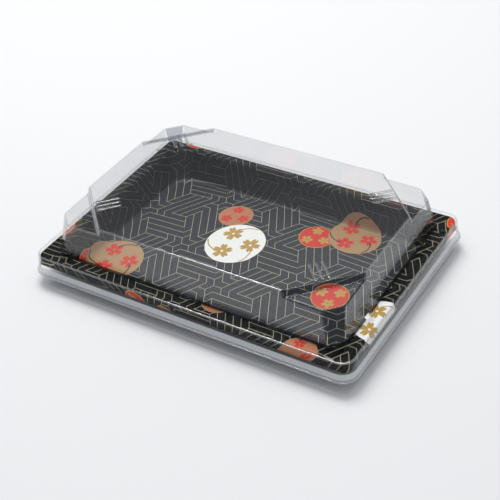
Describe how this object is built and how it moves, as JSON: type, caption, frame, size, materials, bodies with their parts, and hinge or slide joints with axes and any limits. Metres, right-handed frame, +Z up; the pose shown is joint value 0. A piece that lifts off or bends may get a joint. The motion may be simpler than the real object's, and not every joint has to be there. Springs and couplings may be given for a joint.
{
  "type": "takeaway sushi tray",
  "caption": "Shallow rectangular formed-plastic food tray with a flat rim and turned-down skirt, closed by a clear raised press-on lid with stepped corners.",
  "frame": {"origin": "middle of the tray's underside, on the surface it stands on", "axes": "+X along the long side, +Y along the short side, +Z up"},
  "size_m": [0.2352, 0.1632, 0.05],
  "materials": {
    "tray": "glossy black sheet with a thin gold geometric line print",
    "lid": "clear, glossy thin sheet"
  },
  "bodies": {
    "root": {"tray": "tray", "lid": "lid"}
  },
  "joints": []
}
